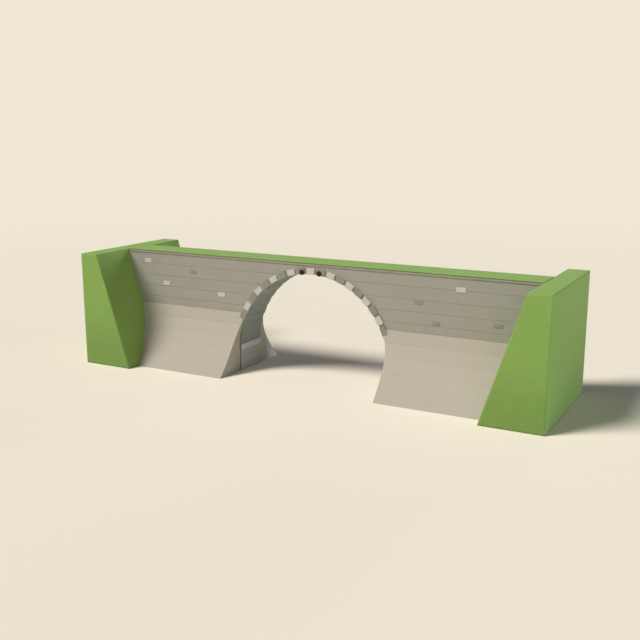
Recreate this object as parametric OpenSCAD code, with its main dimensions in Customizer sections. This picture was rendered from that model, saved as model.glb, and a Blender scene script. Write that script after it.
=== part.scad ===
// Single-arch stone bridge with walls that spread towards the ground, a turf deck and a turf-faced
// earth bank at each end. Millimetres. The origin is on the ground at the middle of the bridge,
// +X runs along the deck, -Y is the front and +Z is up.

/* [Overall] */
// Length over the two end banks
bridge_length = 20080; // [16000:80:24000]
// Height of the banks above the ground
deck_height = 4800; // [4000:50:5800]

/* [End banks] */
// Width of each bank across the bridge
bank_width = 5680; // [4700:20:7000]
// Length of each bank along the top
bank_top_length = 820; // [500:10:1400]
// Length of each bank along the ground
bank_base_length = 2360; // [1500:20:3200]

/* [Walls] */
// Width over the two upper wall faces
wall_width = 1500; // [1250:10:2400]
// Thickness of each side wall
wall_thickness = 450; // [300:10:560]
// Height at which the lower walls begin to spread
batter_height = 2500; // [2000:50:3200]
// Width over the spread walls at the ground
batter_width = 4500; // [3700:20:5600]
// Width of the ledge where the spread begins
set_off = 30; // [10:5:80]
// Number of flat faces in the spread, one for each stone course
batter_courses = 5; // [3:1:10]
// How late the spread opens: 1 is a straight slope, 2 a hollow one
batter_hollow = 1.65; // [1:0.05:2.5]

/* [Arch] */
// Clear width of the archway
arch_span = 6740; // [5400:20:8200]
// Depth of the arch ring, from its underside to its back
ring_depth = 250; // [180:10:400]
// Wall height left between the arch ring and the coping
crown_cover = 85; // [0:5:300]
// Step between the side of the archway and the end of the spread wall
jamb_return = 60; // [20:5:150]
// How far the abutments reach back behind the sides of the archway
abutment_depth = 1150; // [600:50:2400]
// Height of the ledge along each side of the archway
ledge_height = 240; // [120:10:400]
// How far that ledge stands out
ledge_depth = 40; // [40:5:200]

/* [Ring stones] */
// Number of stones on each face of the arch, always odd
stone_count = 19; // [15:2:23]
// Angle from one stone to the next, in degrees
stone_pitch = 7.35; // [6:0.05:7.8]
// Width of each stone along the ring
stone_width = 340; // [260:5:400]
// How far each stone stands out from the wall
stone_proud = 60; // [20:5:120]
// How far each stone is let into the ring
stone_depth = 140; // [60:5:300]

/* [Tie plates] */
// Distance between the two iron tie plates on a face
plate_spacing = 770; // [700:5:1000]
// Diameter of each plate
plate_diameter = 220; // [140:5:240]
// Thickness of each plate
plate_thickness = 25; // [10:1:50]
// Size of the square nut on each plate, across its flats
nut_width = 70; // [40:2:100]
// Height of that nut
nut_height = 30; // [15:1:50]
// How far the plates sit below the middle of the ring
plate_drop = 45; // [0:5:60]

/* [Coping and deck] */
// Height of the coping course
coping_height = 60; // [50:5:200]
// How far the coping overhangs the wall
coping_proud = 30; // [20:5:120]
// Thickness of the turf
turf_thickness = 45; // [45:5:150]
// How far the turf stops inside the coping's edge
turf_inset = 95; // [0:5:160]
// How far the turf stands above the tops of the banks
turf_rise = 20; // [5:5:40]

/* [Hidden] */

$fn = 360;

// Heights of the layers under the deck
turf_top = deck_height + turf_rise;
turf_base = turf_top - turf_thickness;
wall_top = turf_base - coping_height;

// Half widths, measured out from the middle of the deck
wall_face = wall_width / 2;
wall_back = wall_face - wall_thickness;
ring_back = wall_face - stone_depth;
stone_face = wall_face + stone_proud;
coping_face = wall_face + coping_proud;

// The arch is a half circle, and its ring stays clear of the coping at the crown
arch_radius = arch_span / 2;
ring_outer = arch_radius + ring_depth;
springing = wall_top - crown_cover - ring_outer;
batter_start = arch_radius + jamb_return;
stone_middle = arch_radius + ring_depth / 2;
stone_side = (stone_count - 1) / 2;
stone_angle = stone_width / stone_middle * 180 / PI;
ring_end = stone_side * stone_pitch + stone_angle / 2;

earth = "#80994f";
turf = "#94ad64";
upper_stone = "#999281";
lower_stone = "#bab39f";
inner_stone = "#6c6c60";
light_stone = "#c3bcaa";
dark_stone = "#89806e";
coping_stone = "#8c8776";
rubble = "#7d725f";
iron = "#3c3026";

// Distance from the middle of the bridge to the bank's sloping inner face, at a height
function bank_reach(height) =
    bridge_length / 2 - bank_top_length
    - (bank_base_length - bank_top_length) * (1 - height / deck_height);

// Half width of the spread wall at a height
function batter_face(height) =
    let (top = wall_face + set_off)
    top + (batter_width / 2 - top) * pow(1 - height / batter_height, batter_hollow);

// Extrudes an outline drawn in X and Z between two places along Y
module across(from_y, to_y) {
    translate([0, to_y, 0])
        rotate([90, 0, 0])
            linear_extrude(to_y - from_y)
                children();
}

module at_side(side) {
    if (side == "front") children();
    else mirror([0, 1, 0]) children();
}

module at_end(end) {
    if (end == "east") children();
    else mirror([1, 0, 0]) children();
}

// Everything between the two banks, from one height to another
module between_banks(low, high) {
    polygon([
        [-bank_reach(low), low],
        [bank_reach(low), low],
        [bank_reach(high), high],
        [-bank_reach(high), high]
    ]);
}

// The eastern half of that
module east_half(low, high) {
    intersection() {
        between_banks(low, high);
        square([bridge_length, deck_height]);
    }
}

// The archway with its ring, or without it for a smaller radius
module archway(radius) {
    translate([0, springing])
        circle(radius);
    translate([-radius, 0])
        square([2 * radius, springing]);
}

// The arch ring between its springings
module ring_outline() {
    intersection() {
        translate([0, springing])
            difference() {
                circle(ring_outer);
                circle(arch_radius);
            }
        translate([-ring_outer, springing])
            square([2 * ring_outer, ring_outer]);
    }
}

// The part of the ring between two angles from upright
module ring_wedge(low, high) {
    reach = 2 * ring_outer;
    intersection() {
        ring_outline();
        translate([0, springing])
            polygon([
                [0, 0],
                [reach * sin(low), reach * cos(low)],
                [reach * sin(high), reach * cos(high)]
            ]);
    }
}

module stone_outline(place) {
    ring_wedge(place * stone_pitch - stone_angle / 2, place * stone_pitch + stone_angle / 2);
}

module ring_stones(side, places) {
    at_side(side)
        across(-stone_face, -ring_back)
            for (place = places)
                stone_outline(place);
}

module bank(end) {
    color(earth)
        at_end(end)
            across(-bank_width / 2, bank_width / 2)
                polygon([
                    [bank_reach(0), 0],
                    [bridge_length / 2, 0],
                    [bridge_length / 2, deck_height],
                    [bank_reach(deck_height), deck_height]
                ]);
}

// The side of the archway below the springing
module jamb(end) {
    color(inner_stone)
        at_end(end)
            translate([arch_radius, -wall_face, 0])
                cube([ring_depth, wall_width, springing]);
}

// The masonry behind the jamb, between the side walls
module abutment(end) {
    color(rubble)
        at_end(end)
            translate([ring_outer, -wall_back, 0])
                cube([abutment_depth, 2 * wall_back, springing]);
}

module barrel() {
    color(inner_stone)
        across(-ring_back, ring_back)
            ring_outline();
}

// The lower wall outside the upper one, in flat faces that open towards the ground. Its end
// follows the archway, and it stops short of the ring stones.
module batter(side, end) {
    heights = [for (i = [0:batter_courses]) batter_height * i / batter_courses];
    color(lower_stone)
        at_side(side)
            at_end(end)
                intersection() {
                    rotate([90, 0, 90])
                        linear_extrude(bridge_length)
                            polygon([
                                [-wall_face, 0],
                                for (z = heights) [-batter_face(z), z],
                                [-wall_face, batter_height]
                            ]);
                    across(-batter_width, 0)
                        difference() {
                            east_half(0, batter_height);
                            archway(batter_start);
                            ring_wedge(0, ring_end);
                        }
                }
}

module side_wall(side, end) {
    color(upper_stone)
        at_side(side)
            at_end(end)
                across(-wall_face, -wall_back)
                    difference() {
                        east_half(0, wall_top);
                        archway(ring_outer);
                    }
}

// The face of the ring between its stones, and from the lowest stones down to the springings
module ring_bed(side) {
    color(upper_stone)
        at_side(side)
            across(-wall_face, -ring_back) {
                for (place = [-stone_side:stone_side - 1])
                    ring_wedge(place * stone_pitch + stone_angle / 2, (place + 1) * stone_pitch - stone_angle / 2);
                for (end = [0, 1])
                    mirror([end, 0])
                        ring_wedge(ring_end, 90);
            }
}

module keystone(side) {
    color(light_stone)
        ring_stones(side, [0]);
}

module light_ring_stones(side) {
    color(light_stone)
        ring_stones(side, [for (place = [2:2:stone_side], way = [-1, 1]) way * place]);
}

module dark_ring_stones(side) {
    color(dark_stone)
        ring_stones(side, [for (place = [1:2:stone_side], way = [-1, 1]) way * place]);
}

// Round iron plate with a square nut, on the stone beside the keystone
module tie_plate(side, end) {
    x = plate_spacing / 2;
    z = springing + sqrt(pow(stone_middle - plate_drop, 2) - x * x);
    color(iron)
        at_side(side)
            at_end(end)
                translate([x, -stone_face, z])
                    rotate([90, 0, 0])
                        union() {
                            cylinder(h = plate_thickness, d = plate_diameter);
                            translate([-nut_width / 2, -nut_width / 2, 0])
                                cube([nut_width, nut_width, plate_thickness + nut_height]);
                        }
}

// A ledge along the side of the archway, shaped at its back to the abutment and the vault
module ledge(end) {
    color(inner_stone)
        at_end(end)
            across(-wall_face, wall_face)
                intersection() {
                    archway(arch_radius);
                    translate([arch_radius - ledge_depth, springing - ledge_height / 2])
                        square([ledge_depth, ledge_height]);
                }
}

module fill(end) {
    color(rubble)
        at_end(end)
            across(-wall_back, wall_back)
                difference() {
                    east_half(0, turf_base);
                    archway(ring_outer);
                    square([ring_outer + abutment_depth, springing]);
                }
}

module coping(side) {
    color(coping_stone)
        at_side(side)
            across(-coping_face, -wall_back)
                between_banks(wall_top, turf_base);
}

// The turf follows the banks' slopes up to their tops, then stands a little above them
module turf_deck() {
    color(turf)
        across(-(coping_face - turf_inset), coping_face - turf_inset)
            polygon([
                [-bank_reach(turf_base), turf_base],
                [bank_reach(turf_base), turf_base],
                [bank_reach(deck_height), deck_height],
                [bank_reach(deck_height), turf_top],
                [-bank_reach(deck_height), turf_top],
                [-bank_reach(deck_height), deck_height]
            ]);
}

bank("west");  // west_bank
bank("east");  // east_bank
jamb("west");  // west_jamb
jamb("east");  // east_jamb
abutment("west");  // west_abutment
abutment("east");  // east_abutment
barrel();  // arch_barrel
batter("front", "west");  // front_west_batter
batter("front", "east");  // front_east_batter
batter("back", "west");  // back_west_batter
batter("back", "east");  // back_east_batter
side_wall("front", "west");  // front_west_wall
side_wall("front", "east");  // front_east_wall
side_wall("back", "west");  // back_west_wall
side_wall("back", "east");  // back_east_wall
ring_bed("front");  // front_ring_bed
ring_bed("back");  // back_ring_bed
keystone("front");  // front_keystone
keystone("back");  // back_keystone
light_ring_stones("front");  // front_light_ring_stones
light_ring_stones("back");  // back_light_ring_stones
dark_ring_stones("front");  // front_dark_ring_stones
dark_ring_stones("back");  // back_dark_ring_stones
tie_plate("front", "west");  // front_west_tie_plate
tie_plate("front", "east");  // front_east_tie_plate
tie_plate("back", "west");  // back_west_tie_plate
tie_plate("back", "east");  // back_east_tie_plate
ledge("west");  // west_ledge
ledge("east");  // east_ledge
fill("west");  // west_fill
fill("east");  // east_fill
coping("front");  // front_coping
coping("back");  // back_coping
turf_deck();
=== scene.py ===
"""Looks of the single-arch stone bridge: dressed stone, iron tie plates, turf deck and turf banks."""

import math
import random

import bmesh
import bpy
from mathutils import Matrix, Vector


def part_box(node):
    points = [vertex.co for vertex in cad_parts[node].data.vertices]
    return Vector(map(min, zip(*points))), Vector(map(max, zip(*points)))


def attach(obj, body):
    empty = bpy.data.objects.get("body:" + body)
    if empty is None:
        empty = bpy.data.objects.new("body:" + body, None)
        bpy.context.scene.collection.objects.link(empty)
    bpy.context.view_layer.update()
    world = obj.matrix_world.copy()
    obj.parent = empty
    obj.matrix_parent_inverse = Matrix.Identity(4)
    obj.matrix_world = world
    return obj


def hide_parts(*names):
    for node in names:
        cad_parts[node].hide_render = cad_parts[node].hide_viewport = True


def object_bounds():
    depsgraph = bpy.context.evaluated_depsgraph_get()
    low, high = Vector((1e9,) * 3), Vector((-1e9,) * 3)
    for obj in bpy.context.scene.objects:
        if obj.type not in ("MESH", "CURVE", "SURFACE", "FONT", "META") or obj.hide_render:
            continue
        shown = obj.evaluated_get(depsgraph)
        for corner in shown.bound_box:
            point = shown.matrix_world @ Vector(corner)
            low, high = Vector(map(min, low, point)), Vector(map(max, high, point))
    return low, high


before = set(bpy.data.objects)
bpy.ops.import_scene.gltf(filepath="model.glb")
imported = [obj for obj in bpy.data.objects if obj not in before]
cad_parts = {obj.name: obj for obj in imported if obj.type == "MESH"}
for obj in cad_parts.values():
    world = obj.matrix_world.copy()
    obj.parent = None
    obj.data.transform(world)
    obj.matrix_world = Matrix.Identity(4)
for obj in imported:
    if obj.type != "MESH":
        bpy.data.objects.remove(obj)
cad_low, cad_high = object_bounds()
scene = bpy.context.scene


# ---------------------------------------------------------------- camera
def place_camera():
    """A long lens on the front of the bridge, a little to the east and above the deck."""
    eye, aim = Vector((16.761, -31.187, 10.182)), Vector((-0.003, 0.0, 2.3855))
    data = bpy.data.cameras.new("bridge_camera")
    data.lens, data.sensor_width = 50.05, 36.0
    data.clip_start, data.clip_end = 0.5, 900.0
    camera = bpy.data.objects.new("bridge_camera", data)
    camera.location = eye
    camera.rotation_mode = "QUATERNION"
    camera.rotation_quaternion = (aim - eye).to_track_quat("-Z", "Y")
    scene.collection.objects.link(camera)
    scene.camera = camera


place_camera()
scene.view_settings.view_transform = "Standard"

# ---------------------------------------------------------------- sizes, in metres
BRIDGE_HALF = cad_high.x
BANK_HALF = cad_high.y
DECK_TOP = cad_high.z
BANK_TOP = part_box("east_bank")[1].z
WALL_FACE = -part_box("front_east_wall")[0].y
WALL_BACK = -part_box("front_east_wall")[1].y
WALL_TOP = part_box("front_east_wall")[1].z
BATTER_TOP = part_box("front_east_batter")[1].z
TURF_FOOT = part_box("turf_deck")[0].z
TURF_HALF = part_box("turf_deck")[1].y
COPING_FACE = -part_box("front_coping")[0].y
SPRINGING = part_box("east_jamb")[1].z
ARCH_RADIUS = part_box("east_jamb")[0].x
RING_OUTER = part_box("east_jamb")[1].x
RING_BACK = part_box("arch_barrel")[1].y
STONE_FACE = -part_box("front_keystone")[0].y
BANK_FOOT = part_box("east_bank")[0].x
BANK_LENGTH = BRIDGE_HALF - BANK_FOOT
BANK_TOP_LENGTH = BRIDGE_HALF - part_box("turf_deck")[1].x
STONE_PITCH = math.radians(7.35)
STONE_ANGLE = 2 * math.atan2(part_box("front_keystone")[1].x, RING_OUTER)
RING_STEPS = 90
WALL_BEDS = (2.83, 3.30, 3.767, 4.264)
JAMB_BEDS = (0.29, 0.58, 0.87)
BATTER_COURSES = 5
COPING_COUNT = 19
TURF_RELIEF = 0.008
SET_STONE_DEPTH = 0.116
PALE_SET_STONES = ((-8.123, 4.353), (-7.163, 3.430), (-4.285, 3.178), (6.225, 4.293))
DULL_SET_STONES = ((-5.750, 4.048), (4.575, 3.682), (5.286, 2.955), (7.668, 3.102))
PLATE_THICKNESS = 0.025
PLATE_TURNS = 48


def bank_reach(z):
    """Distance from the middle of the bridge to the sloping face of the bank at a height."""
    return BRIDGE_HALF - BANK_TOP_LENGTH - (BANK_LENGTH - BANK_TOP_LENGTH) * (1 - z / BANK_TOP)


# ---------------------------------------------------------------- node benches
class Wire:
    """One output socket. Python's own operators on it add Math nodes."""

    def __init__(self, bench, socket):
        self.bench, self.socket = bench, socket

    def math(self, operation, *values, **settings):
        settings["operation"] = operation
        return self.bench.node("ShaderNodeMath", settings, dict(enumerate(values)))

    def __add__(self, other):
        return self.math("ADD", self, other)

    def __radd__(self, other):
        return self.math("ADD", other, self)

    def __sub__(self, other):
        return self.math("SUBTRACT", self, other)

    def __rsub__(self, other):
        return self.math("SUBTRACT", other, self)

    def __mul__(self, other):
        return self.math("MULTIPLY", self, other)

    def __rmul__(self, other):
        return self.math("MULTIPLY", other, self)

    def __truediv__(self, other):
        return self.math("DIVIDE", self, other)

    def __rtruediv__(self, other):
        return self.math("DIVIDE", other, self)

    def __mod__(self, other):
        return self.math("FLOORED_MODULO", self, other)

    def __abs__(self):
        return self.math("ABSOLUTE", self)

    def __gt__(self, other):
        return self.math("GREATER_THAN", self, other)

    def floor(self):
        return self.math("FLOOR", self)

    def least(self, other):
        return self.math("MINIMUM", self, other)

    def most(self, other):
        return self.math("MAXIMUM", self, other)

    def held(self, low, high):
        return self.most(low).least(high)

    def sin(self):
        return self.math("SINE", self)

    def cos(self):
        return self.math("COSINE", self)

    def vector(self, operation, other=None, out=0):
        values = {0: self} if other is None else {0: self, 1: other}
        return self.bench.node("ShaderNodeVectorMath", {"operation": operation}, values, out)

    def scaled(self, factor):
        return self.bench.node("ShaderNodeVectorMath", {"operation": "SCALE"}, {0: self, "Scale": factor})

    def parts(self):
        return [self.bench.node("ShaderNodeSeparateXYZ", {}, {0: self}, axis) for axis in range(3)]


class Bench:
    """Adds nodes to one tree, of a material or of geometry."""

    def __init__(self, tree):
        self.tree = tree
        self.count = 0

    def node(self, kind, settings=None, inputs=None, out=0):
        """One node: its settings first, then the values or wires of its sockets. Returns an output."""
        made = self.tree.nodes.new(kind)
        self.count += 1
        made.location = (180 * (self.count % 12), -220 * (self.count // 12))
        for key, value in (settings or {}).items():
            setattr(made, key, value)
        for key, value in (inputs or {}).items():
            if isinstance(value, Wire):
                self.tree.links.new(value.socket, made.inputs[key])
            elif value is not None:
                made.inputs[key].default_value = value
        if not made.outputs:
            return made
        return Wire(self, made.outputs[out])

    def join(self, x, y, z):
        return self.node("ShaderNodeCombineXYZ", {}, {0: x, 1: y, 2: z})

    def blend(self, factor, first, second):
        """Mix of two colours."""
        return self.node(
            "ShaderNodeMix",
            {"data_type": "RGBA", "blend_type": "MIX", "clamp_factor": True},
            {0: factor, 6: first, 7: second},
            2,
        )

    def noise(self, place, scale, detail=2.0, rough=0.5, out=0):
        return self.node(
            "ShaderNodeTexNoise",
            {"noise_dimensions": "3D"},
            {"Vector": place, "Scale": scale, "Detail": detail, "Roughness": rough},
            out,
        )

    def span(self, value, low, high, to_low=0.0, to_high=1.0, smooth=True):
        """Value between low and high, spread over to_low to to_high."""
        return self.node(
            "ShaderNodeMapRange",
            {"interpolation_type": "SMOOTHSTEP" if smooth else "LINEAR", "clamp": True},
            {0: value, 1: low, 2: high, 3: to_low, 4: to_high},
        )


# ---------------------------------------------------------------- finishes
STONE_ROUGHNESS = 0.9
HUE_SHARE = 0.35


def linear(red, green, blue):
    """A colour named by its 0 to 255 values, as light."""
    return tuple(
        (c / 255 / 12.92) if c / 255 <= 0.04045 else ((c / 255 + 0.055) / 1.055) ** 2.4
        for c in (red, green, blue)
    ) + (1.0,)


class Finish:
    """A material under way, with the piece's own coordinates at hand."""

    def __init__(self, name):
        self.material = bpy.data.materials.new(name)
        self.material.use_nodes = True
        tree = self.material.node_tree
        tree.nodes.clear()
        self.bench = Bench(tree)
        self.place = self.bench.node("ShaderNodeTexCoord", {}, {}, "Object")
        self.x, self.y, self.z = self.place.parts()

    def attribute(self, name):
        return self.bench.node(
            "ShaderNodeAttribute", {"attribute_type": "GEOMETRY", "attribute_name": name}, {}, "Fac"
        )

    def done(self, colour, roughness, height, distance, strength=1.0, **fixed):
        bench = self.bench
        normal = bench.node(
            "ShaderNodeBump", {}, {"Strength": strength, "Distance": distance, "Height": height}, "Normal"
        )
        shader = bench.node(
            "ShaderNodeBsdfPrincipled",
            {},
            {"Base Color": colour, "Roughness": roughness, "Normal": normal, **fixed},
        )
        bench.node("ShaderNodeOutputMaterial", {}, {"Surface": shader})
        return self.material


def stone_finish(name, colour, spread, patch, grain, damp=0.0, relief=1.0, painted_light_bands=(), under=None, ends=None,
                 painted_shade_corners=(), sides=0.0):
    """Sawn or rubbed stone: tone from stone to stone, soft patches, grain, small pits and worn edges.

    Each band is a height, a thickness and a change of tone: painted shade or a painted highlight along one
    level.
    Under is the colour of faces on the inside of the arch, and ends is painted light: a lighter, cooler tint on
    faces turned along the deck.
    Each corner shade is a wire's name, two values and a change of tone: painted shade in a corner or recess.
    Sides is painted light: a lift in tone on the faces between neighbouring ring stones, which lie in shade."""
    f = Finish(name)
    b, p = f.bench, f.place
    patches = b.noise(p, 0.55, 3.0, 0.55) - 0.5
    mottle = b.noise(p, 5.0, 4.0, 0.6) - 0.5
    fine = b.noise(p, 95.0, 3.0, 0.65) - 0.5
    streak = b.noise(b.join(f.x * 3.2, f.y * 3.2, f.z * 0.3), 1.0, 3.0, 0.6) - 0.5
    cells = b.node(
        "ShaderNodeTexVoronoi", {"feature": "F1", "voronoi_dimensions": "3D"},
        {"Vector": p, "Scale": 24.0, "Randomness": 1.0}, "Distance",
    )
    pits = b.span(cells, 0.10, 0.26, 1.0, 0.0)
    thin_out = b.span(b.noise(p, 1.7, 2.0), 0.48, 0.62)
    pits = pits * thin_out
    level = 1.0 + patches * (2.0 * patch) + mottle * (2.0 * grain) + fine * (2.2 * grain)
    level = level + streak * (1.4 * patch) + f.attribute("tone") * spread
    level = level + f.attribute("wear") * 0.07 - pits * 0.16
    foot = b.span(f.z, 0.0, 0.55, 1.0, 0.0)
    level = level - foot * (damp * (0.6 + b.noise(p, 2.2, 3.0)))
    # Painted bands of shade or highlight at given heights.
    for height, thickness, change in painted_light_bands:
        level = level + b.span(abs(f.z - height), thickness * 0.4, thickness * 0.7, 1.0, 0.0) * change
    if under:
        reach = b.join(f.x, 0.0, (f.z - SPRINGING).most(0.0)).vector("LENGTH", None, 1)
        inside = b.span(reach, ARCH_RADIUS + 0.004, ARCH_RADIUS + 0.016, 1.0, 0.0)
    # Painted light on the side faces of the ring stones, lifting their shade.
    if sides:
        turned = b.node("ShaderNodeNewGeometry", {}, {}, "True Normal").parts()[1]
        level = level + b.span(abs(turned), 0.3, 0.7, 1.0, 0.0) * (1.0 - inside) * sides
    # Painted shade in corners and recesses: darker tone near a given place.
    for which, least, most, change in painted_shade_corners:
        corner = b.span({"across": abs(f.y), "height": f.z}[which], least, most, 0.0, 1.0)
        level = level + (corner * (1.0 - inside) if under else corner) * change
    red, green, blue = colour[:3]
    warm = (red * 1.03, green * 1.0, blue * 0.95, 1.0)
    cold = (red * 0.965, green * 1.0, blue * 1.045, 1.0)
    hue = b.blend(b.span(b.noise(p, 1.1, 3.0, 0.6), 0.35, 0.65, 0.0, 1.0), warm, cold)
    tinted = b.blend(HUE_SHARE, colour, hue)
    lichen = b.span(b.noise(p, 3.1, 5.0, 0.7), 0.60, 0.74) * 0.22
    tinted = b.blend(lichen, tinted, (red * 0.93, green * 0.985, blue * 0.84, 1.0))
    if under:
        tinted = b.blend(inside, tinted, under)
    # Painted light: faces turned along the deck take a lighter, cooler tint.
    if ends:
        along = b.node("ShaderNodeNewGeometry", {}, {}, "True Normal").parts()[0]
        tinted = b.blend(b.span(abs(along), 0.85, 0.95), tinted, tinted.vector("MULTIPLY", ends))
    painted = tinted.scaled(level)
    height = mottle * 0.9 + fine * 0.5 - pits * 1.1 + patches * 0.4
    roughness = (STONE_ROUGHNESS + mottle * 0.10 + fine * 0.08 - foot * (damp * 0.4)).held(0.3, 1.0)
    return f.done(painted, roughness, height, 0.006 * relief, 0.7)


def mortar_finish(name, colour):
    """Lime mortar, set back in the joints and darkened by the weather."""
    f = Finish(name)
    b, p = f.bench, f.place
    grit = b.noise(p, 120.0, 2.0, 0.6) - 0.5
    soft = b.noise(p, 2.4, 3.0, 0.6) - 0.5
    weathered_tone = (colour[0] * 0.93, colour[1] * 0.94, colour[2] * 0.96, 1.0)
    level = 1.0 + grit * 0.22 + soft * 0.12
    return f.done(
        b.blend(soft + 0.5, colour, weathered_tone).scaled(level), 0.95 + grit * 0.05, grit + soft * 0.5, 0.004
    )


def turf_finish(name, front, top, dry, foot=0.0, slope_painted_light=0.0):
    """Close-mown turf: two greens, the lighter one on faces turned up as painted light, a little dry grass, and
    the fine upright nap of the blades.

    Front and back faces darken towards the foot as painted shade. The slope that leans back takes painted
    light, a lift in tone which falls off near its upper corners, where it turns to slight painted shade, and at
    its foot."""
    f = Finish(name)
    b, p = f.bench, f.place
    broad = b.noise(p, 0.35, 3.0, 0.55)
    clumps = b.noise(p, 3.4, 4.0, 0.6)
    nap = b.noise(b.join(f.x * 95.0, f.y * 95.0, f.z * 26.0), 1.0, 2.0, 0.6) - 0.5
    tips = b.noise(p, 60.0, 3.0, 0.7) - 0.5
    across, up = b.node("ShaderNodeNewGeometry", {}, {}, "True Normal").parts()[1:]
    # Painted light: faces turned up take the lighter top green, and the rest take the front green.
    green = b.blend(b.span(up, 0.3, 0.9), front, top)
    green = b.blend(b.span(broad, 0.38, 0.66) * 0.35, green, b.blend(0.5, green, dry))
    green = b.blend(b.span(clumps, 0.56, 0.76) * 0.16, green, dry)
    level = 1.0 + (clumps - 0.5) * 0.08 + nap * 0.22 + tips * 0.20
    # Painted light on the slope that leans back, less near its upper corners and at its foot.
    slope = b.span(up, 0.12, 0.22) - b.span(up, 0.5, 0.7)
    # Painted shade: front and back faces darken towards the foot.
    level = level - b.span(f.z, 0.0, 3.2, 1.0, 0.0) * b.span(abs(across), 0.4, 0.8) * foot
    edge = b.span(f.z, 3.2, 4.4, 0.0, 1.0) * b.span(abs(f.y), 1.2, 2.6, 0.0, 0.25)
    level = level + slope * (slope_painted_light - edge - b.span(f.z, 0.2, 1.4, 0.1, 0.0))
    height = nap * 1.0 + tips * 1.0 + clumps * 0.8
    return f.done(
        green.scaled(level), 0.92 + tips * 0.1, height, 0.012, 0.75,
        **{"Specular IOR Level": 0.2, "Sheen Weight": 0.04, "Sheen Roughness": 0.6},
    )


def iron_finish(name, dark, rust):
    """Old painted cast iron with rust at the edges and in patches."""
    f = Finish(name)
    b, p = f.bench, f.place
    cast = b.noise(p, 140.0, 3.0, 0.6) - 0.5
    bloom = b.noise(p, 17.0, 5.0, 0.65)
    rusty = (b.span(bloom, 0.46, 0.66) * 0.75 + f.attribute("wear") * 0.35).held(0.0, 1.0)
    colour = b.blend(rusty, dark, rust).scaled(1.0 + cast * 0.35)
    return f.done(
        colour, (0.52 + rusty * 0.36 + cast * 0.1).held(0.2, 1.0), cast + bloom * 0.6, 0.003, 0.8,
        **{"Metallic": rusty * -0.5 + 0.55},
    )


BANK_GREEN = linear(132, 167, 84)
VAULT = linear(140, 148, 142)
# Painted shadow under the coping: a dark band at the top of the wall.
COPING_PAINTED_SHADOW = (4.70, 0.03, -0.08)
# Painted shade: a dark line across the vault where the light breaks at a crease.
VAULT_PAINTED_SHADE_LINE = (2.34, 0.05, -0.16)
# Painted highlight: a pale line across the vault at one level.
VAULT_PAINTED_HIGHLIGHT_LINE = (3.45, 0.045, 0.45)
# Painted shade: the vault darkens towards its crown.
VAULT_CROWN_PAINTED_SHADE = (3.75, 0.5, -0.11)
# Painted shade along the jamb where it meets the front and back faces.
JAMB_PAINTED_CORNER_SHADE = ("across", 0.737, 0.747, -0.5)
# Painted shade on the lower part of the ring bed, below about 1.7 m.
RING_BED_PAINTED_SHADE = ("height", 1.82, 1.70, -0.5)
finishes = {
    "upper": stone_finish("upper_wall_stone", linear(156, 152, 141), spread=0.012, patch=0.02, grain=0.025,
                           painted_light_bands=(COPING_PAINTED_SHADOW,)),
    "lower": stone_finish("batter_stone", linear(177, 170, 156), spread=0.010, patch=0.015, grain=0.02,
                          # The batter's end faces take painted light, a lighter and cooler tint.
                          damp=0.02, ends=(1.05, 1.10, 1.12)),
    "inner": stone_finish("vault_stone", VAULT, spread=0.02, patch=0.02, grain=0.03,
                           painted_light_bands=(VAULT_PAINTED_SHADE_LINE, VAULT_PAINTED_HIGHLIGHT_LINE, VAULT_CROWN_PAINTED_SHADE)),
    # Painted light: the jamb takes a lighter copy of the vault stone, which lifts the shade at the foot of the
    # arch.
    "jamb": stone_finish("jamb_stone", linear(176, 174, 166), spread=0.02, patch=0.02, grain=0.03, damp=0.03,
                         painted_shade_corners=(JAMB_PAINTED_CORNER_SHADE,)),
    "ledge": stone_finish("ledge_stone", linear(196, 200, 202), spread=0.02, patch=0.02, grain=0.03),
    "light": stone_finish("light_ring_stone", linear(192, 190, 180), spread=0.02, patch=0.02, grain=0.03,
                          under=VAULT),
    "dark": stone_finish("dark_ring_stone", linear(139, 136, 125), spread=0.03, patch=0.03, grain=0.04,
                         # Painted light lifts the shaded side faces of the dark stones.
                         under=VAULT, sides=0.5),
    "bed": stone_finish("ring_bed_stone", linear(163, 158, 142), spread=0.0, patch=0.04, grain=0.05,
                        under=VAULT, painted_shade_corners=(RING_BED_PAINTED_SHADE,)),
    "coping": stone_finish("coping_stone", linear(152, 150, 133), spread=0.03, patch=0.03, grain=0.04),
    "rubble": stone_finish("rubble_core", linear(118, 108, 92), spread=0.0, patch=0.08, grain=0.09, relief=3.0),
    "wall_joint": mortar_finish("wall_mortar", linear(104, 98, 84)),
    "batter_joint": mortar_finish("batter_mortar", linear(150, 143, 126)),
    "inner_joint": mortar_finish("vault_mortar", linear(96, 93, 82)),
    "bank": turf_finish("bank_turf", BANK_GREEN, linear(147, 185, 99), linear(156, 176, 102),
                        # The bank darkens towards the foot as painted shade, and its slope takes painted light.
                        foot=0.22, slope_painted_light=0.18),
    "deck": turf_finish("deck_turf", linear(125, 147, 90), linear(149, 185, 101), linear(158, 183, 108)),
    "iron": iron_finish("tie_iron", linear(54, 45, 37), linear(66, 52, 41)),
}


# ---------------------------------------------------------------- pieces
def own(name, mesh, replaced=()):
    """A finished mesh becomes a piece of the bridge."""
    piece = bpy.data.objects.new(name, mesh)
    scene.collection.objects.link(piece)
    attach(piece, "root")
    if replaced:
        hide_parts(*replaced)
    return piece


def mesh_of(bm, name, materials):
    mesh = bpy.data.meshes.new(name)
    bm.to_mesh(mesh)
    bm.free()
    for material in materials:
        mesh.materials.append(material)
    return mesh


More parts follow.
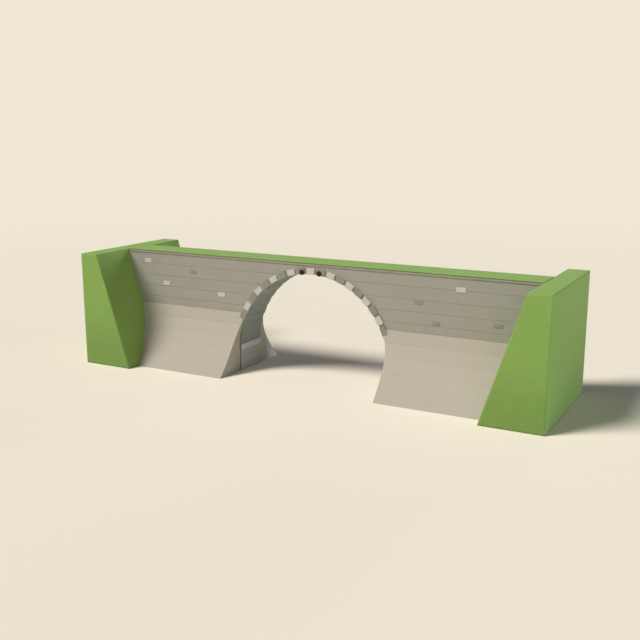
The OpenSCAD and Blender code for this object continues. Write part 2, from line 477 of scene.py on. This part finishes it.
# ---- stones sawn out of a CAD solid
def merged(node):
    """A copy of a CAD solid with its loose triangles joined into whole faces."""
    bm = bmesh.new()
    bm.from_mesh(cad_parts[node].data)
    bmesh.ops.remove_doubles(bm, verts=bm.verts, dist=2e-5)
    bmesh.ops.dissolve_limit(bm, angle_limit=math.radians(0.3), verts=bm.verts, edges=bm.edges)
    return bm


def saw(bm, axis, place, keep_above):
    """Cuts a solid with a plane across one axis and closes the cut."""
    normal = [0.0, 0.0, 0.0]
    normal[axis] = 1.0
    point = [0.0, 0.0, 0.0]
    point[axis] = place
    cut = bmesh.ops.bisect_plane(
        bm, geom=bm.verts[:] + bm.edges[:] + bm.faces[:], dist=1e-6, plane_co=point, plane_no=normal,
        clear_outer=not keep_above, clear_inner=keep_above,
    )
    rim = [e for e in cut["geom_cut"] if isinstance(e, bmesh.types.BMEdge)]
    if rim:
        bmesh.ops.holes_fill(bm, edges=rim, sides=0)


def joints_along(low, high, mean, rng):
    """Places of the upright joints in one course."""
    places, at = [low], low + mean * rng.uniform(0.45, 1.1)
    while at < high - 0.4 * mean:
        places.append(at)
        at += mean * rng.uniform(0.72, 1.28)
    places.append(high)
    return places


def dressed(node, name, stone, joint, courses, mean, seed, inward, along=0, bed_gap=0.010, end_gap=0.004,
            arris=0.005, squeeze=(0.0, 0.0, 0.0)):
    """Saws a CAD solid into courses of stones over a sunk core of mortar, and replaces it.

    The core is the same solid moved inward, and squeezed a little towards its own middle."""
    rng = random.Random(seed)
    whole = merged(node)
    low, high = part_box(node)
    out = bmesh.new()
    tone = out.faces.layers.float.new("tone")
    wear = out.faces.layers.float.new("wear")

    core = whole.copy()
    middle = (low + high) / 2
    for v in core.verts:
        v.co += Vector(inward)
        for axis in range(3):
            v.co[axis] -= math.copysign(squeeze[axis], v.co[axis] - middle[axis])
        v.co.z = max(v.co.z, low.z)
    pour(core, out, tone, wear, 0.0, 1, None)
    core.free()

    for bottom, top in zip(courses, courses[1:]):
        course = whole.copy()
        saw(course, 2, bottom + (bed_gap / 2 if bottom > courses[0] else 0.0), True)
        saw(course, 2, top - (bed_gap / 2 if top < courses[-1] else 0.0), False)
        if not course.faces:
            course.free()
            continue
        ends = [v.co[along] for v in course.verts]
        places = joints_along(min(ends), max(ends), mean, rng)
        for near, far in zip(places, places[1:]):
            block = course.copy()
            if near > places[0]:
                saw(block, along, near + end_gap / 2, True)
            if far < places[-1]:
                saw(block, along, far - end_gap / 2, False)
            if len(block.faces) > 3 and block.calc_volume(signed=False) > 2e-5:
                pour(block, out, tone, wear, rng.uniform(-1, 1), 0, arris)
            block.free()
        course.free()
    whole.free()
    return own(name, mesh_of(out, name, [finishes[stone], finishes[joint]]), [node])


def pour(source, out, tone, wear, shade_of, material, arris):
    """Adds one closed solid to a piece, with its arrises taken off."""
    soft = set()
    if arris:
        bmesh.ops.recalc_face_normals(source, faces=source.faces)
        sharp = [e for e in source.edges if e.is_manifold and e.calc_face_angle(0.0) > math.radians(25)]
        made = bmesh.ops.bevel(
            source, geom=sharp, offset=arris, offset_type="OFFSET", segments=1, affect="EDGES",
            clamp_overlap=True,
        )
        soft = set(made["faces"])
    twin = {v: out.verts.new(v.co) for v in source.verts}
    for face in source.faces:
        try:
            copy = out.faces.new([twin[v] for v in face.verts])
        except ValueError:
            continue
        copy.material_index = material
        copy[tone] = shade_of
        copy[wear] = 1.0 if face in soft else 0.0


# ---- blocks laid by geometry nodes
def new_tree(name, sockets):
    """A geometry tree with named inputs. Returns the tree, its bench and its inputs as wires."""
    tree = bpy.data.node_groups.new(name, "GeometryNodeTree")
    tree.interface.new_socket("Bed", in_out="INPUT", socket_type="NodeSocketGeometry")
    for label, kind, value in sockets:
        made = tree.interface.new_socket(label, in_out="INPUT", socket_type="NodeSocket" + kind)
        if kind != "Material":
            made.default_value = value
    tree.interface.new_socket("Work", in_out="OUTPUT", socket_type="NodeSocketGeometry")
    bench = Bench(tree)
    entry = tree.nodes.new("NodeGroupInput")
    wires = {s.name: Wire(bench, s) for s in entry.outputs if s.name}
    return tree, bench, wires


def store(bench, geometry, name, value, kind="FLOAT_VECTOR"):
    return bench.node(
        "GeometryNodeStoreNamedAttribute", {"data_type": kind, "domain": "POINT"},
        {"Geometry": geometry, "Name": name, "Value": value},
    )


def named(bench, name):
    return bench.node("GeometryNodeInputNamedAttribute", {"data_type": "FLOAT_VECTOR"}, {"Name": name})


def lot(bench, low, high, number, seed):
    """A random number that belongs to one stone or one joint."""
    return bench.node(
        "FunctionNodeRandomValue", {"data_type": "FLOAT"},
        {"Min": low, "Max": high, "ID": number, "Seed": seed}, 1,
    )


def laid_blocks(bench, w, count, centre, half, arris):
    """Blocks with eased edges: centre and half size of each come from its number in the row."""
    cube = bench.node(
        "GeometryNodeMeshCube", {}, {"Size": (2, 2, 2), "Vertices X": 4, "Vertices Y": 4, "Vertices Z": 4}
    )
    corner = bench.node("GeometryNodeInputPosition")
    way = corner.vector("SIGN")
    axes = corner.parts()
    rim = bench.join(*[(abs(a) > 0.9) * s for a, s in zip(axes, way.parts())])
    cube = store(bench, cube, "way", way)
    cube = store(bench, cube, "lip", rim.vector("NORMALIZE"))
    edge = (rim.vector("DOT_PRODUCT", rim, 1)) > 1.5
    cube = store(bench, cube, "wear", edge, "FLOAT")
    points = bench.node("GeometryNodePoints", {}, {"Count": count})
    points = store(bench, points, "centre", centre)
    points = store(bench, points, "half", half)
    number = bench.node("GeometryNodeInputIndex")
    points = store(bench, points, "tone", lot(bench, -1.0, 1.0, number, w["Seed"]), "FLOAT")
    laid = bench.node("GeometryNodeInstanceOnPoints", {}, {"Points": points, "Instance": cube})
    laid = bench.node("GeometryNodeRealizeInstances", {}, {0: laid})
    inner = named(bench, "half").vector("SUBTRACT", bench.join(arris, arris, arris))
    place = named(bench, "centre").vector("ADD", named(bench, "way").vector("MULTIPLY", inner))
    place = place.vector("ADD", named(bench, "lip").scaled(arris))
    return bench.node("GeometryNodeSetPosition", {}, {"Geometry": laid, "Position": place})


def weathered(bench, geometry, amount, scale, seed):
    """A very small unevenness, so that no face is quite flat."""
    shift = bench.join(seed * 3.7, seed * 1.3, seed * 2.1)
    place = bench.node("GeometryNodeInputPosition").vector("ADD", shift)
    push = bench.noise(place, scale, 2.0, 0.5, out=1).vector("SUBTRACT", (0.5, 0.5, 0.5)).scaled(amount)
    return bench.node("GeometryNodeSetPosition", {}, {"Geometry": geometry, "Offset": push})


def rolled(bench, geometry, radius, height):
    """Rolls flat work round the arch: X along the ring, Z out from the middle of the arch."""
    x, y, z = bench.node("GeometryNodeInputPosition").parts()
    turn = x / radius
    place = bench.join(turn.sin() * z, y, turn.cos() * z + height)
    return bench.node("GeometryNodeSetPosition", {}, {"Geometry": geometry, "Position": place})


def close_tree(bench, w, geometry):
    work = bench.node("GeometryNodeSetMaterial", {}, {"Geometry": geometry, "Material": w["Stone"]})
    join = bench.tree.nodes.new("GeometryNodeJoinGeometry")
    for part in (work, w["Bed"]):
        bench.tree.links.new(part.socket, join.inputs[0])
    bench.node("NodeGroupOutput", {}, {0: Wire(bench, join.outputs[0])})


def worked(name, tree, values, replaced=(), bed=None, smooth=False):
    """Runs a tree on a bed, which may be empty, and keeps the result as a plain mesh."""
    mesh = bed or bpy.data.meshes.new(name)
    piece = bpy.data.objects.new(name, mesh)
    scene.collection.objects.link(piece)
    step = piece.modifiers.new("laying", "NODES")
    sockets = {
        s.name: s.identifier for s in tree.interface.items_tree
        if s.item_type == "SOCKET" and s.in_out == "INPUT"
    }
    step.node_group = tree
    for label, value in values.items():
        step[sockets[label]] = value
    bpy.context.view_layer.update()
    graph = bpy.context.evaluated_depsgraph_get()
    seen = piece.evaluated_get(graph)
    result = bpy.data.meshes.new_from_object(seen, preserve_all_data_layers=True, depsgraph=graph)
    piece.modifiers.clear()
    bpy.data.objects.remove(piece)
    for extra in ("way", "lip", "centre", "half"):
        if extra in result.attributes:
            result.attributes.remove(result.attributes[extra])
    result.name = name
    if smooth:
        result.shade_smooth()
    return own(name, result, replaced)


def ring_tree():
    """Stones at even angles round the face of the arch."""
    tree, b, w = new_tree("ring_stones", [
        ("Count", "Int", 10), ("First", "Float", -9.0), ("Step over", "Float", 0.0),
        ("Pitch", "Float", STONE_PITCH),
        ("Angle", "Float", STONE_ANGLE), ("Radius", "Float", ARCH_RADIUS), ("Depth", "Float", 0.25),
        ("Face", "Float", STONE_FACE), ("Back", "Float", RING_BACK), ("Side", "Float", -1.0),
        ("Height", "Float", SPRINGING), ("Arris", "Float", 0.004), ("Unevenness", "Float", 0.005),
        ("Seed", "Int", 3), ("Stone", "Material", None),
    ])
    number = b.node("GeometryNodeInputIndex")
    past = (number + 0.5) > (w["Count"] / 2.0)
    place = w["First"] + number * 2.0 + past * w["Step over"]
    middle = w["Radius"] + w["Depth"] / 2.0
    jut = lot(b, -0.006, 0.0, number, w["Seed"] + 5)
    centre = b.join(place * w["Pitch"] * middle, w["Side"] * ((w["Face"] + jut + w["Back"]) / 2.0), middle)
    half = b.join(w["Angle"] * middle / 2.0, (w["Face"] + jut - w["Back"]) / 2.0, w["Depth"] / 2.0)
    work = laid_blocks(b, w, w["Count"], centre, half, w["Arris"])
    work = rolled(b, work, middle, w["Height"])
    work = weathered(b, work, w["Unevenness"], 9.0, w["Seed"])
    close_tree(b, w, work)
    return tree


def vault_tree():
    """Rows of long stones under the arch, each row breaking joint with the last."""
    tree, b, w = new_tree("vault_rows", [
        ("Rows", "Int", 31), ("Across", "Int", 3), ("Length", "Float", 0.488),
        ("Half width", "Float", RING_BACK),
        ("Radius", "Float", ARCH_RADIUS), ("Depth", "Float", 0.25), ("Height", "Float", SPRINGING),
        ("Joint", "Float", 0.004), ("Arris", "Float", 0.004), ("Seed", "Int", 11), ("Stone", "Material", None),
    ])
    number = b.node("GeometryNodeInputIndex")
    row = (number / w["Across"] + 0.001).floor()
    column = number - row * w["Across"]
    shift = (row % 2.0) * 0.5
    wide = w["Half width"]
    near = (column - shift + lot(b, -0.08, 0.08, number, w["Seed"] + 1)) * w["Length"] - wide
    near = near.held(wide * -1.0, wide)
    far = (column - shift + 1.0 + lot(b, -0.08, 0.08, number + 1, w["Seed"] + 1)) * w["Length"] - wide
    far = far.held(wide * -1.0, wide)
    last = (column + 1.5) > w["Across"]
    far = far + (wide - far) * last
    middle = w["Radius"] + w["Depth"] / 2.0
    rise = math.pi / w["Rows"]
    angle = (row + 0.5) * rise - math.pi / 2
    centre = b.join(angle * middle, (near + far) / 2.0, middle)
    half = b.join(
        rise * middle / 2.0 - w["Joint"] / 2.0, (far - near) / 2.0 - w["Joint"] / 2.0, w["Depth"] / 2.0
    )
    work = laid_blocks(b, w, w["Rows"] * w["Across"], centre, half, w["Arris"])
    work = rolled(b, work, middle, w["Height"])
    close_tree(b, w, work)
    return tree


def row_tree():
    """A straight row of blocks along the deck with slightly uneven lengths."""
    tree, b, w = new_tree("coping_row", [
        ("Count", "Int", 20), ("Half run", "Float", 9.2), ("Near", "Float", 0.3), ("Far", "Float", 0.8),
        ("Low", "Float", 4.63), ("High", "Float", 4.74), ("Side", "Float", -1.0), ("Joint", "Float", 0.006),
        ("Unevenness", "Float", 0.004), ("Arris", "Float", 0.008), ("Seed", "Int", 7),
        ("Stone", "Material", None),
    ])
    number = b.node("GeometryNodeInputIndex")
    pitch = 2.0 * w["Half run"] / w["Count"]
    near = (number + lot(b, -0.12, 0.12, number, w["Seed"])) * pitch - w["Half run"]
    far = (number + 1.0 + lot(b, -0.12, 0.12, number + 1, w["Seed"])) * pitch - w["Half run"]
    across = w["Side"] * ((w["Near"] + w["Far"]) / 2.0)
    centre = b.join((near + far) / 2.0, across, (w["Low"] + w["High"]) / 2.0)
    half = b.join((far - near - w["Joint"]) / 2.0, (w["Far"] - w["Near"]) / 2.0, (w["High"] - w["Low"]) / 2.0)
    work = laid_blocks(b, w, w["Count"], centre, half, w["Arris"])
    work = weathered(b, work, w["Unevenness"], 4.0, w["Seed"])
    close_tree(b, w, work)
    return tree


def turf_tree():
    """A block of turf with one sloping end, softly rounded edges and a low, lumpy surface."""
    tree, b, w = new_tree("turf_block", [
        ("Outer", "Float", 10.0), ("Top", "Float", 9.2), ("Foot", "Float", 7.7), ("Half width", "Float", 2.84),
        ("Low", "Float", 0.0), ("High", "Float", 4.8), ("Across", "Int", 33), ("Deep", "Int", 81),
        ("Tall", "Int", 69),
        ("Edge", "Float", 0.008), ("Relief", "Float", 0.008), ("Way", "Float", 1.0), ("Seed", "Int", 5),
        ("Stone", "Material", None),
    ])
    cube = b.node(
        "GeometryNodeMeshCube", {},
        {"Size": (2, 2, 2), "Vertices X": w["Across"], "Vertices Y": w["Deep"], "Vertices Z": w["Tall"]},
    )
    half = b.join((w["Outer"] - w["Foot"]) / 2.0, w["Half width"], (w["High"] - w["Low"]) / 2.0)
    edge = b.join(w["Edge"], w["Edge"], w["Edge"])
    inner = half.vector("SUBTRACT", edge)
    at = b.node("GeometryNodeInputPosition").vector("MULTIPLY", half)
    core = at.vector("MINIMUM", inner).vector("MAXIMUM", inner.scaled(-1.0))
    out = at.vector("SUBTRACT", core).vector("NORMALIZE")
    cube = store(b, cube, "out", out)
    at = core.vector("ADD", out.vector("MULTIPLY", edge))
    sx, sy, sz = at.parts()
    rise = (sz + (w["High"] - w["Low"]) / 2.0) / (w["High"] - w["Low"])
    face = w["Foot"] + (w["Top"] - w["Foot"]) * rise
    share = (sx + (w["Outer"] - w["Foot"]) / 2.0) / (w["Outer"] - w["Foot"])
    x = face + (w["Outer"] - face) * share
    z = w["Low"] + (w["High"] - w["Low"]) * rise
    shaped = b.node("GeometryNodeSetPosition", {}, {"Geometry": cube, "Position": b.join(x * w["Way"], sy, z)})
    place = b.node("GeometryNodeInputPosition").vector("ADD", b.join(w["Seed"] * 3.1, w["Seed"] * 7.3, 0.0))
    lumps = b.noise(place, 1.6, 3.0, 0.55) * 0.65 + b.noise(place, 9.0, 2.0, 0.6) * 0.35
    sink = b.span(lumps, 0.3, 0.7, 0.0, 1.0, False) * w["Relief"]
    ox, oy, oz = named(b, "out").parts()
    ground = b.span(b.node("GeometryNodeInputPosition").parts()[2], w["Low"] + 0.001, w["Low"] + 0.05, 0.0, 1.0)
    push = b.join(ox * w["Way"], oy, oz * ground).scaled(sink * -1.0)
    shaped = b.node("GeometryNodeSetPosition", {}, {"Geometry": shaped, "Offset": push})
    close_tree(b, w, shaped)
    return tree


def outline_solid(name, outline, near, far, material):
    """A closed solid between two places along Y from an outline drawn in X and Z."""
    bm = bmesh.new()
    front = [bm.verts.new((x, near, z)) for x, z in outline]
    back = [bm.verts.new((x, far, z)) for x, z in outline]
    bm.faces.new(front)
    bm.faces.new(back[::-1])
    for i in range(len(outline)):
        j = (i + 1) % len(outline)
        bm.faces.new((front[j], front[i], back[i], back[j]))
    bmesh.ops.recalc_face_normals(bm, faces=bm.faces)
    return mesh_of(bm, name, [material])


def half_ring(inner, outer):
    """Outline of the arch ring from one springing to the other."""
    arcs = []
    for radius, turns in ((inner, range(RING_STEPS + 1)), (outer, range(RING_STEPS, -1, -1))):
        for i in turns:
            a = math.pi * i / RING_STEPS
            arcs.append((-radius * math.cos(a), SPRINGING + radius * math.sin(a)))
    return arcs


# ---- the work itself
SIDES = (("front", -1.0), ("back", 1.0))
ENDS = (("west", -1.0), ("east", 1.0))


def raise_walls():
    courses = [BATTER_TOP, *WALL_BEDS, WALL_TOP]
    steps = [BATTER_TOP * k / BATTER_COURSES for k in range(BATTER_COURSES + 1)]
    for i, (side, out) in enumerate(SIDES):
        for j, (end, way) in enumerate(ENDS):
            dressed(f"{side}_{end}_wall", f"{side}_{end}_wall_courses", "upper", "wall_joint",
                    courses, 0.86, 40 + 2 * i + j, (0.0, -0.010 * out, 0.0), bed_gap=0.007, end_gap=0.0007,
                    arris=0.0006)
            dressed(f"{side}_{end}_batter", f"{side}_{end}_batter_stones", "lower",
                    "batter_joint", steps, 0.95, 60 + 2 * i + j, (0.004 * way, -0.005 * out, -0.004),
                    bed_gap=0.002, end_gap=0.0007, arris=0.0006)


def turn_arch():
    ring, vault = ring_tree(), vault_tree()
    bed = outline_solid(
        "vault_bed", half_ring(ARCH_RADIUS + 0.008, RING_OUTER - 0.004), -RING_BACK + 0.004, RING_BACK - 0.004,
        finishes["inner_joint"],
    )
    worked("vault_rows", vault, {"Stone": finishes["inner"]}, ["arch_barrel"], bed)
    for side, way in SIDES:
        common = {"Side": way}
        worked(f"{side}_light_voussoirs", ring,
               {**common, "Count": 8, "First": -8.0, "Step over": 2.0, "Seed": 4, "Stone": finishes["light"]},
               [f"{side}_light_ring_stones"])
        worked(f"{side}_dark_voussoirs", ring,
               {**common, "Count": 10, "First": -9.0, "Seed": 8, "Stone": finishes["dark"]},
               [f"{side}_dark_ring_stones"])
        worked(f"{side}_key", ring,
               {**common, "Count": 1, "First": 0.0, "Seed": 12, "Stone": finishes["light"]},
               [f"{side}_keystone"])


def lay_sides():
    for i, (end, way) in enumerate(ENDS):
        dressed(f"{end}_jamb", f"{end}_jamb_stones", "jamb", "inner_joint",
                [0.0, *JAMB_BEDS, SPRINGING], 0.55, 80 + i, (0.007 * way, 0.0, 0.0), along=1,
                bed_gap=0.005, end_gap=0.003, arris=0.003, squeeze=(0.0, 0.006, 0.002))
        low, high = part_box(f"{end}_ledge")
        dressed(f"{end}_ledge", f"{end}_ledge_stones", "ledge", "inner_joint",
                [low.z, high.z], 0.6, 90 + i, (0.012 * way, 0.0, 0.0), along=1, end_gap=0.004, arris=0.010,
                squeeze=(0.0, 0.012, 0.012))


def lay_coping():
    row = row_tree()
    run = bank_reach(BANK_TOP) + 0.03
    lip = 0.004
    for i, (side, way) in enumerate(SIDES):
        ends = sorted((way * (WALL_BACK + 0.01), way * (COPING_FACE - 0.02)))
        bed = outline_solid(
            f"{side}_coping_bed",
            [(-run, WALL_TOP + 0.01), (run, WALL_TOP + 0.01),
             (run, TURF_FOOT - 0.01), (-run, TURF_FOOT - 0.01)],
            *ends, finishes["wall_joint"],
        )
        worked(f"{side}_coping_stones", row, {
            "Count": COPING_COUNT, "Half run": run, "Near": WALL_BACK, "Far": COPING_FACE, "Low": WALL_TOP,
            "High": TURF_FOOT - lip, "Side": way, "Seed": 21 + i, "Stone": finishes["coping"],
        }, [f"{side}_coping"], bed)


def lay_turf():
    turf = turf_tree()
    for i, (end, way) in enumerate(ENDS):
        worked(f"{end}_turf_bank", turf, {
            "Outer": BRIDGE_HALF, "Top": bank_reach(BANK_TOP) - TURF_RELIEF, "Foot": BANK_FOOT - TURF_RELIEF,
            "Half width": BANK_HALF, "Low": 0.0, "High": BANK_TOP, "Way": way,
            "Relief": TURF_RELIEF, "Seed": 5 + i, "Stone": finishes["bank"],
        }, [f"{end}_bank"], smooth=True)
    run = bank_reach(BANK_TOP)
    worked("deck_turf_strip", turf, {
        "Outer": run, "Top": -run, "Foot": -run, "Half width": TURF_HALF, "Low": TURF_FOOT, "High": DECK_TOP,
        "Across": 265, "Deep": 24, "Tall": 4, "Edge": 0.006, "Relief": 0.004, "Seed": 9,
        "Stone": finishes["deck"],
    }, ["turf_deck"], smooth=True)


def set_odd_stones():
    """Single stones let into the walls, some pale and some dark, standing a little proud."""
    for side, way in SIDES:
        for label, places, stone, slot, long, tall in (
            ("pale", PALE_SET_STONES, "light", "light_stone", 0.365, 0.185),
            ("dull", DULL_SET_STONES, "dark", "dark_stone", 0.325, 0.155),
        ):
            bm = bmesh.new()
            tone = bm.faces.layers.float.new("tone")
            wear = bm.faces.layers.float.new("wear")
            rng = random.Random(label)
            for x, z in places:
                block = bmesh.new()
                bmesh.ops.create_cube(
                    block, size=1.0,
                    matrix=Matrix.Translation((x, way * (WALL_FACE - 0.04), z))
                    @ Matrix.Diagonal((long, SET_STONE_DEPTH, tall, 1.0)),
                )
                pour(block, bm, tone, wear, rng.uniform(-1, 1), 0, 0.008)
                block.free()
            name = f"{side}_{label}_set_stones"
            own(name, mesh_of(bm, name, [finishes[stone]]))


def fit_tie_plates():
    """Round cast plates with a raised rim, a washer and the squared nut and end of the tie rod."""
    for side, way in SIDES:
        for end in ("west", "east"):
            node = f"{side}_{end}_tie_plate"
            low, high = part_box(node)
            middle = (low + high) / 2
            radius = (high.x - low.x) / 2
            thick = PLATE_THICKNESS
            bm = bmesh.new()
            wear = bm.faces.layers.float.new("wear")
            profile = [
                (0.0, 0.014), (radius * 0.42, 0.014), (radius * 0.62, 0.011), (radius * 0.74, 0.011),
                (radius * 0.80, thick - 0.003), (radius * 0.84, thick), (radius * 0.93, thick),
                (radius * 0.98, thick - 0.003), (radius, thick - 0.008), (radius, 0.0), (0.0, 0.0),
            ]
            turns = PLATE_TURNS
            rings = []
            for r, out in profile:
                if r == 0.0:
                    rings.append([bm.verts.new((middle.x, way * (STONE_FACE + out), middle.z))])
                    continue
                rings.append([
                    bm.verts.new((middle.x + r * math.cos(2 * math.pi * k / turns), way * (STONE_FACE + out),
                                  middle.z + r * math.sin(2 * math.pi * k / turns)))
                    for k in range(turns)
                ])
            for first, second in zip(rings, rings[1:]):
                for k in range(turns):
                    n = (k + 1) % turns
                    if len(first) == 1:
                        face = bm.faces.new((first[0], second[k], second[n]))
                    elif len(second) == 1:
                        face = bm.faces.new((first[k], first[n], second[0]))
                    else:
                        face = bm.faces.new((first[k], first[n], second[n], second[k]))
                    face.smooth = True
            tone = bm.faces.layers.float.new("tone")
            for size, near, far, turn, arris in (
                (0.086, 0.010, 0.021, 0.0, 0.002), (0.070, 0.018, 0.046, 0.0, 0.004),
                (0.034, 0.040, 0.055, 0.4, 0.004),
            ):
                block = bmesh.new()
                bmesh.ops.create_cube(
                    block, size=1.0,
                    matrix=Matrix.Translation((middle.x, way * (STONE_FACE + (near + far) / 2), middle.z))
                    @ Matrix.Rotation(turn, 4, "Y") @ Matrix.Diagonal((size, far - near, size, 1.0)),
                )
                pour(block, bm, tone, wear, 0.0, 0, arris)
                block.free()
            bmesh.ops.recalc_face_normals(bm, faces=bm.faces)
            name = f"{side}_{end}_pattress"
            own(name, mesh_of(bm, name, [finishes["iron"]]), [node])


def finish_plain_nodes():
    """CAD solids that stay as they are and only take a finish."""
    for node, stone in (
        ("front_ring_bed", "bed"), ("back_ring_bed", "bed"), ("west_abutment", "rubble"),
        ("east_abutment", "rubble"), ("west_fill", "rubble"), ("east_fill", "rubble"),
    ):
        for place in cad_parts[node].material_slots:
            place.material = finishes[stone]


raise_walls()
turn_arch()
lay_sides()
lay_coping()
lay_turf()
set_odd_stones()
fit_tie_plates()
finish_plain_nodes()


# ---------------------------------------------------------------- floor, light
BACKDROP = linear(242, 232, 213)


def lay_floor():
    """A wide pale floor that meets the backdrop in one tone."""
    bm = bmesh.new()
    bmesh.ops.create_circle(bm, cap_ends=True, segments=96, radius=400.0)
    floor = bpy.data.objects.new("studio_floor", mesh_of(bm, "studio_floor", []))
    f = Finish("studio_floor")
    b = f.bench
    mottle = b.noise(f.place, 0.4, 2.0) - 0.5
    colour = b.blend(0.5 + mottle * 0.1, linear(248, 239, 222), linear(250, 241, 225))
    normal = b.node("ShaderNodeBump", {}, {"Strength": 0.05, "Distance": 0.01, "Height": mottle}, "Normal")
    lit = b.node("ShaderNodeBsdfPrincipled", {}, {
        "Base Color": colour, "Roughness": 1.0, "Normal": normal, "Specular IOR Level": 0.0,
    })
    glow = b.node("ShaderNodeEmission", {}, {"Color": BACKDROP, "Strength": 1.0})
    far = b.span(b.join(f.x, f.y, 0.0).vector("LENGTH", None, 1), 22.0, 90.0)
    seen = b.node("ShaderNodeMixShader", {}, {0: far, 1: lit, 2: glow})
    b.node("ShaderNodeOutputMaterial", {}, {"Surface": seen})
    floor.data.materials.append(f.material)
    scene.collection.objects.link(floor)


def sun(name, azimuth, height, strength, colour, softness):
    """A soft distant lamp. Azimuth 0 shines from the front, -90 from the west."""
    data = bpy.data.lights.new(name, "SUN")
    data.energy, data.color, data.angle = strength, colour, math.radians(softness)
    lamp = bpy.data.objects.new(name, data)
    a, e = math.radians(azimuth), math.radians(height)
    towards = Vector((math.sin(a) * math.cos(e), -math.cos(a) * math.cos(e), math.sin(e)))
    lamp.rotation_mode = "QUATERNION"
    lamp.rotation_quaternion = towards.to_track_quat("Z", "Y")
    lamp.location = towards * 60
    scene.collection.objects.link(lamp)


def light_studio():
    sun("key_light", -45.0, 48.0, 3.2, (1.0, 0.975, 0.93), 22.0)
    sun("fill_light", 96.0, 2.5, 1.25, (0.86, 0.86, 1.12), 5.0)
    sun("front_light", 35.0, 12.0, 0.42, (0.96, 0.97, 1.0), 40.0)
    sun("rear_light", 175.0, 8.0, 0.35, (1.0, 0.98, 0.95), 20.0)
    world = bpy.data.worlds.new("studio")
    world.use_nodes = True
    world.node_tree.nodes.clear()
    scene.world = world
    b = Bench(world.node_tree)
    seen = b.node("ShaderNodeBackground", {}, {"Color": BACKDROP, "Strength": 1.0})
    soft = b.node("ShaderNodeBackground", {}, {"Color": (0.90, 0.95, 1.08, 1.0), "Strength": 0.085})
    direct = b.node("ShaderNodeLightPath", {}, {}, "Is Camera Ray")
    mixed = b.node("ShaderNodeMixShader", {}, {0: direct, 1: soft, 2: seen})
    b.node("ShaderNodeOutputWorld", {}, {"Surface": mixed})


lay_floor()
light_studio()
